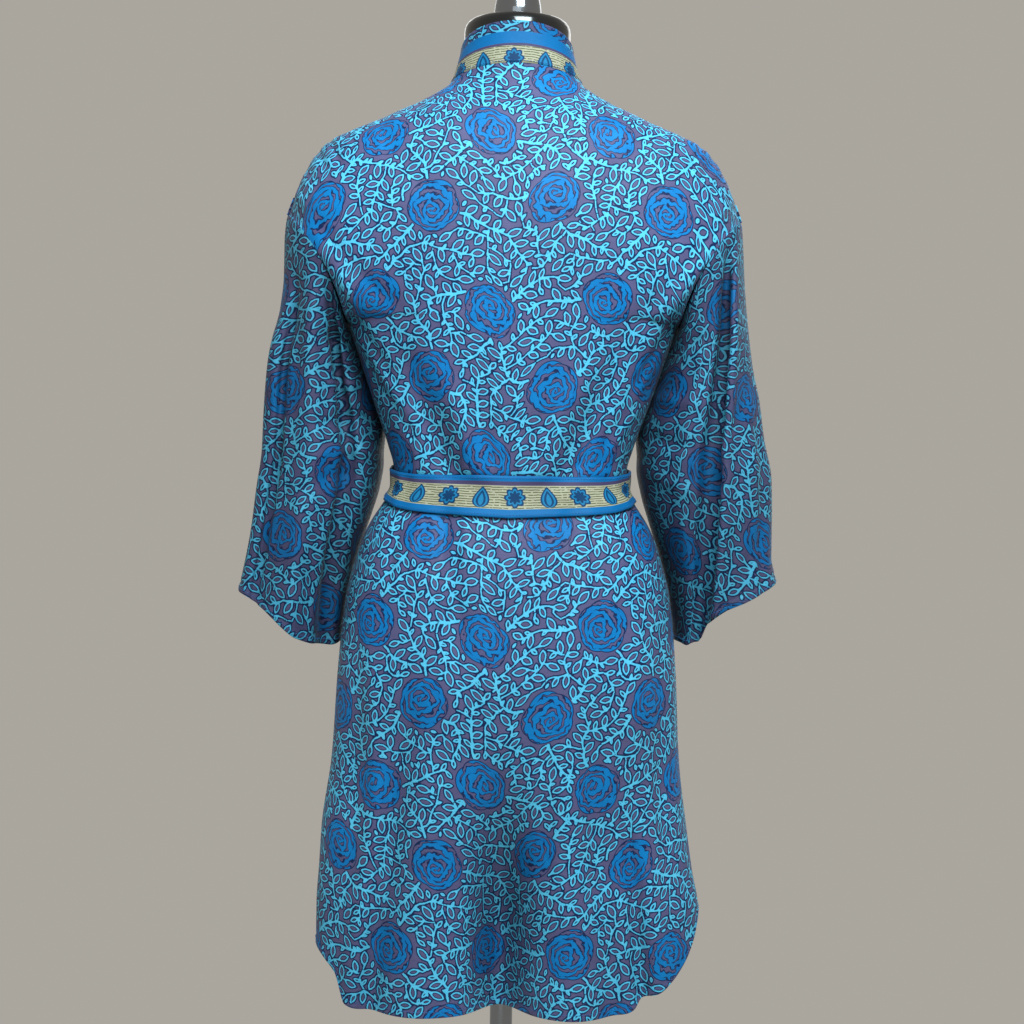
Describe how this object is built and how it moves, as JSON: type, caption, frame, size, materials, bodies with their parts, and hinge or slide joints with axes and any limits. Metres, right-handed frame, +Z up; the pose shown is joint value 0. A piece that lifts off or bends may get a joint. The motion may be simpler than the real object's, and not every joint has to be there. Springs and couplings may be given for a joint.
{
  "type": "kimono robe on dress form",
  "caption": "Short wrap kimono robe with wide open sleeves, standing neckband and tied sash, worn by a limbless dress form on a pole stand.",
  "frame": {"origin": "centre of the underside of the stand's base plate, on the floor", "axes": "+Z up, +Y the way the wearer faces, +X towards the wearer's right sleeve"},
  "size_m": [0.536, 0.32, 1.5348],
  "materials": {
    "printed_silk": "soft sheen, printed with roses and leafy vines",
    "border_silk": "striped border cloth with blue bands and small motifs",
    "form_cover": "matt black jersey",
    "form_gloss": "high gloss black",
    "stand_chrome": "polished chrome",
    "base_black": "satin black powder coat"
  },
  "bodies": {
    "root": {"back_panel": "printed_silk", "front_left": "printed_silk", "front_right": "printed_silk", "sleeve_left": "printed_silk", "sleeve_right": "printed_silk", "neckband": "border_silk", "belt": "border_silk", "belt_knot": "border_silk", "belt_tail_left": "border_silk", "belt_tail_right": "border_silk", "form_torso": "form_cover", "neck_cap": "form_gloss", "neck_finial": "stand_chrome", "pole_flange": "stand_chrome", "pole": "stand_chrome", "base_collar": "stand_chrome", "base_plate": "base_black"}
  },
  "joints": []
}
